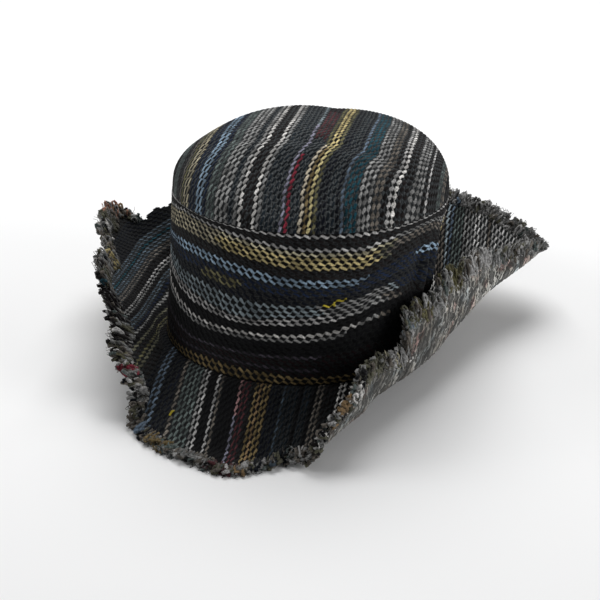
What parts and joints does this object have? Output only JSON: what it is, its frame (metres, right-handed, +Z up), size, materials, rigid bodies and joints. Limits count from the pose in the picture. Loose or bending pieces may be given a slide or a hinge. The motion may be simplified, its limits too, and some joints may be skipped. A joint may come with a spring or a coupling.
{
  "type": "summer hat",
  "caption": "Soft hat of heavy striped hand-woven cloth, with a domed crown, turned-up brim sides and a raw frayed edge.",
  "frame": {"origin": "on the floor under the middle of the hat's box", "axes": "+Z up, -Y towards the front of the brim, +X towards the side of the brim that is folded up sharply"},
  "size_m": [0.3136, 0.3313, 0.1538],
  "materials": {
    "woven_cloth": "coarse hand-woven cloth in narrow stripes of grey, slate blue, cream, gold, maroon and black",
    "loose_yarn": "loose ends and loops of the same yarns"
  },
  "bodies": {
    "root": {"crown_tip": "woven_cloth", "crown_band": "woven_cloth", "brim": "woven_cloth", "frayed_edge": "loose_yarn"}
  },
  "joints": []
}
